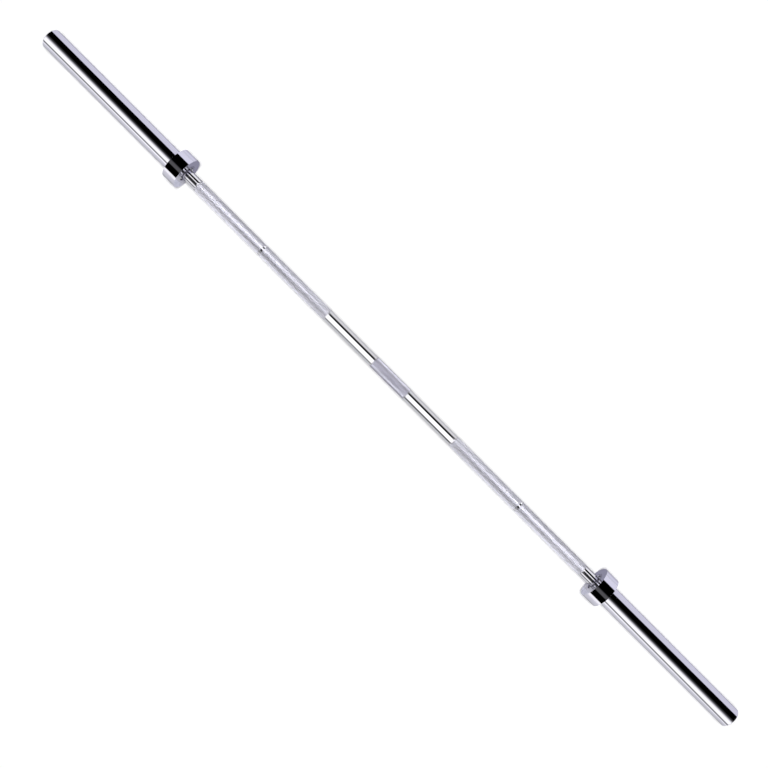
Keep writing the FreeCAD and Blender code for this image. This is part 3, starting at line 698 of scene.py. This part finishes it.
# %% Cloth that glows
def glowing_cloth(name, clear, sampling):
    """Shines with the glow of its points. Clear cloth also lets through what is behind it."""
    cloth = bpy.data.materials.new(name)
    cloth.use_nodes = True
    cloth.cycles.emission_sampling = sampling
    tree = cloth.node_tree
    tree.nodes.clear()
    colour = add_node(tree, "Attribute", attribute_name="glow").outputs["Color"]
    surface = add_node(tree, "Emission", {"Color": colour}).outputs["Emission"]
    if clear:
        gaps = add_node(tree, "BsdfTransparent").outputs["BSDF"]
        surface = add_node(tree, "AddShader", {0: surface, 1: gaps}).outputs["Shader"]
    add_node(tree, "OutputMaterial", {"Surface": surface})
    return cloth


def hang(name, points, faces, colour, cloth, pieces=None):
    """A stage surface that only reflections see, in its own colour at each point, mirrored by the given pieces."""
    hung = add_mesh(name, points, faces)
    hung.visible_camera = hung.visible_diffuse = hung.visible_transmission = hung.visible_shadow = False
    paint = np.concatenate([colour, np.ones_like(colour[..., :1])], axis=-1)
    glow = hung.data.attributes.new("glow", "FLOAT_COLOR", "POINT")
    glow.data.foreach_set("color", paint.ravel().astype(np.float32))
    hung.data.materials.append(cloth)
    if pieces:
        hung.light_linking.receiver_collection = bpy.data.collections.new(name + "_mirrors")
        for piece in pieces:
            hung.light_linking.receiver_collection.objects.link(piece)
    print(name, "has", len(faces), "faces and is mirrored by", len(pieces) if pieces else "all", "pieces")


grip_cloth = glowing_cloth("grip_cloth", clear=True, sampling="FRONT_BACK")
mirror_cloth = glowing_cloth("mirror_cloth", clear=True, sampling="NONE")
card_paper = glowing_cloth("card_paper", clear=False, sampling="FRONT_BACK")
print("clear cloth:", grip_cloth.name, "and", mirror_cloth.name, "plain paper:", card_paper.name)

# %% [markdown]
# Each tent is one grid: a few rows along every stretch, and fine steps of the angle, so that the cards keep their
# edges. The light on the sleeves and collars leans a little, from warm on the near side to cool on the far side.

# %% Tents
ROWS = 9
ANGLE_STEPS = 721
TENT_R = 0.59
TENT_GAP = 0.005
COOL, WARM = np.array([0.975, 0.965, 1.06]), np.array([1.01, 1.005, 0.96])
LEAN_MIDDLE, LEAN_WIDTH = 10, 90


def hang_tent(name, radius, stretches, lean, cloth, pieces=None):
    """Half a tube about the bar: point(along, a) = (along, radius sin a, radius cos a).

    A stretch is (start, end, first cards, last cards), and its cards go evenly from the first to the last. With a
    lean of 1 the colour goes from warm on the near side to cool on the far side.
    """
    angle, shares = np.linspace(-90, 90, ANGLE_STEPS), np.linspace(0, 1, ROWS)
    along = np.concatenate([start + shares * (end - start) for start, end, _, _ in stretches])
    glow = np.array([
        cards(angle, np.array(first) + share * (np.array(last) - np.array(first)))
        for _, _, first, last in stretches for share in shares
    ])[..., None]
    cool = step_up(angle, LEAN_MIDDLE, LEAN_WIDTH)[:, None]
    colour = glow * (1 + lean * (cool * COOL + (1 - cool) * WARM - 1))
    turn = np.radians(angle)
    points = np.stack(np.broadcast_arrays(along[:, None], radius * np.sin(turn), radius * np.cos(turn)), axis=-1)
    i, j = np.indices((len(along) - 1, ANGLE_STEPS - 1))
    corner = i * ANGLE_STEPS + j
    faces = np.stack([corner, corner + 1, corner + ANGLE_STEPS + 1, corner + ANGLE_STEPS], axis=-1).reshape(-1, 4)
    hang(name, points, faces, colour, cloth, pieces)


cad_nodes = list(frame["nodes"].values())
hang_tent("collar_tent", TENT_R, COLLAR_STRETCHES, 1, mirror_cloth, collar_pieces)
hang_tent("sleeve_tent", TENT_R + TENT_GAP, SLEEVE_STRETCHES, 1, mirror_cloth,
          sleeve_pieces + cap_pieces + cad_nodes)
hang_tent("shaft_tent", TENT_R + 2 * TENT_GAP, SHAFT_STRETCHES, 0, grip_cloth, [shaft_core, *knurl_pieces])
hang_tent("tent_lining", TENT_R + 3 * TENT_GAP, LINING_STRETCHES, 0, card_paper)

# %% [markdown]
# The edges of a round bar mirror the floor beside it, and cards laid there tone them, as on a photographer's table:
# grey ones beside the centre band, and on the far side grey ones beside the grips and cool ones beside the sleeves.
# A few more are clear, add to what lies under them, and are linked to one kind of piece: bright ones for the knurl,
# and fainter ones for the smooth shaft and for the collars' faces.

# %% Cards on the floor
CARD_LIFT = 0.0005
CLEAR_LIFT = 2 * CARD_LIFT
CARD_CORNERS = 4
BRIGHT_COOL = 1.2 * COOL
LOW_CARDS = [  # along the bar from and to, across it from and to, glow
    (0.26, 0.44, 0.0, 0.045, (0.60, 0.59, 0.70)),
    (0.26, 0.44, 0.045, 0.6, (0.60, 0.60, 0.61)),
    (0.44, 0.675, 0.0, 0.045, (0.46, 0.45, 0.54)),
    (0.44, 0.675, 0.045, 0.1, (0.40, 0.40, 0.41)),
    (0.44, 0.675, 0.1, 0.6, (0.45, 0.45, 0.46)),
    (0.0, 0.055, 0.03, 0.6, (0.55, 0.55, 0.57)),
    (0.0, 0.055, -0.03, -0.6, (0.60, 0.60, 0.61)),
    (0.676, 1.45, 0.03, 0.06, COOL),
    (0.676, 1.45, 0.06, 0.18, BRIGHT_COOL),
    (0.676, 1.45, 0.18, 0.6, COOL),
]
KNURL_CARDS = [
    (0.26, 0.65, -0.02, -0.09, (1.2, 1.2, 1.2)),
    (0.26, 0.47, -0.09, -0.6, (0.3, 0.3, 0.3)),
    (0.47, 0.65, -0.09, -0.6, (0.6, 0.6, 0.6)),
]
SHAFT_CARDS = [
    (0.40, 0.44, 0.0, 0.6, (0.5, 0.5, 0.5)),
    (0.44, 0.60, 0.0, 0.6, (0.7, 0.7, 0.7)),
    (0.62, 0.72, 0.1, 0.6, (0.4, 0.4, 0.4)),
]
FACE_CARDS = [
    (0.60, 0.655, -0.024, -0.05, (0.14, 0.16, 0.22)),
    (0.60, 0.655, 0.0, 0.05, (0.15, 0.15, 0.18)),
]


def lay_cards(name, rows, lift, cloth, pieces=None):
    """Flat cards over the floor, one from each row to the right of the middle and its mirror image to the left."""
    spans = np.array([(sign * start, sign * end, near, far) for start, end, near, far, _ in rows for sign in (1, -1)])
    points = np.stack([spans[:, [0, 1, 1, 0]], spans[:, [2, 2, 3, 3]],
                       np.full((len(spans), CARD_CORNERS), floor_z + lift)], axis=-1)
    faces = np.arange(len(spans) * CARD_CORNERS).reshape(-1, CARD_CORNERS)
    colour = np.repeat([row[-1] for row in rows], 2 * CARD_CORNERS, axis=0)
    hang(name, points, faces, colour, cloth, pieces)


lay_cards("low_cards", LOW_CARDS, CARD_LIFT, card_paper)
lay_cards("knurl_cards", KNURL_CARDS, CLEAR_LIFT, grip_cloth, knurl_pieces)
lay_cards("shaft_cards", SHAFT_CARDS, CLEAR_LIFT, mirror_cloth, [shaft_core])
lay_cards("face_cards", FACE_CARDS, CLEAR_LIFT, mirror_cloth, collar_pieces)

# %% Settings
scene.view_settings.view_transform = "Standard"
